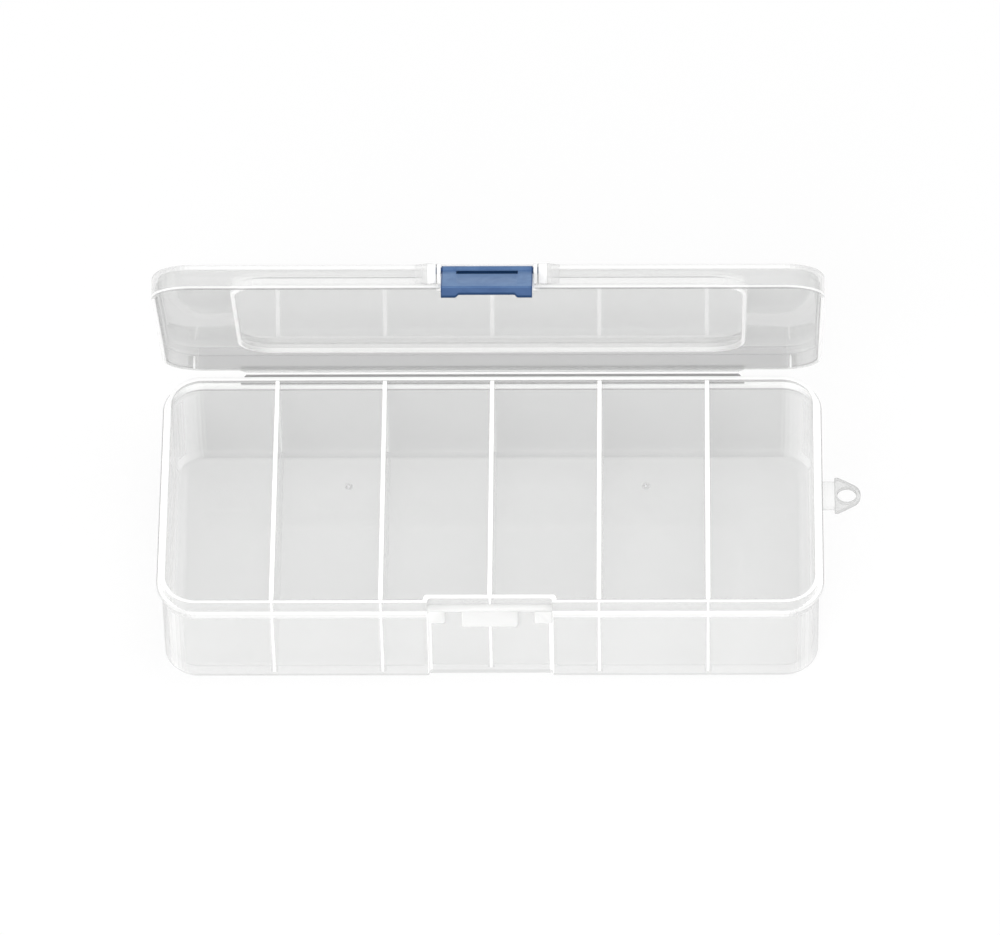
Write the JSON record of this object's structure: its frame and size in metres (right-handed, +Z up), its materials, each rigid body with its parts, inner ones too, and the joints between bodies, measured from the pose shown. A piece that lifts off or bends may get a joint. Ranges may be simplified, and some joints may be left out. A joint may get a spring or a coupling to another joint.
{
  "type": "lure box",
  "caption": "Clear compartment box for fishing lures and small parts, with fixed dividers, a living-hinge lid, a snap latch and a hang loop.",
  "frame": {"origin": "centre of the tray's flat underside", "axes": "+X along the length towards the hang loop, +Y towards the hinge at the back, -Y towards the latch, +Z up"},
  "size_m": [0.1902, 0.0889, 0.1157],
  "materials": {
    "clear_tray": "clear polypropylene, glossy and slightly milky at the edges",
    "clear_divider": "clear polypropylene, glossy and slightly milky at the edges",
    "clear_catch": "clear polypropylene, glossy and slightly milky at the edges",
    "clear_loop": "clear polypropylene, glossy and slightly milky at the edges",
    "clear_hinge": "clear polypropylene, glossy and slightly milky at the edges",
    "clear_lid": "clear polypropylene, glossy and slightly milky at the edges",
    "clear_ear": "clear polypropylene, glossy and slightly milky at the edges",
    "blue_latch": "moulded blue plastic, satin"
  },
  "bodies": {
    "tray": {"tray_shell": "clear_tray", "divider_1": "clear_divider", "divider_2": "clear_divider", "divider_3": "clear_divider", "divider_4": "clear_divider", "divider_5": "clear_divider", "front_catch": "clear_catch", "hang_loop": "clear_loop", "living_hinge": "clear_hinge"},
    "lid": {"lid_shell": "clear_lid", "latch_ear_left": "clear_ear", "latch_ear_right": "clear_ear"},
    "latch": {"latch": "blue_latch"}
  },
  "joints": [
    {"name": "lid_hinge", "type": "hinge", "parent": "tray", "child": "lid", "pos_m": [0, 0.0431, 0.0297], "axis": [-1, 0, 0], "range_deg": [-65.5, 114.5], "deforming": ["living_hinge"]},
    {"name": "latch_pivot", "type": "hinge", "parent": "lid", "child": "latch", "pos_m": [0, 0.01252, 0.10862], "axis": [-1, 0, 0], "range_deg": [-55, 65]}
  ]
}
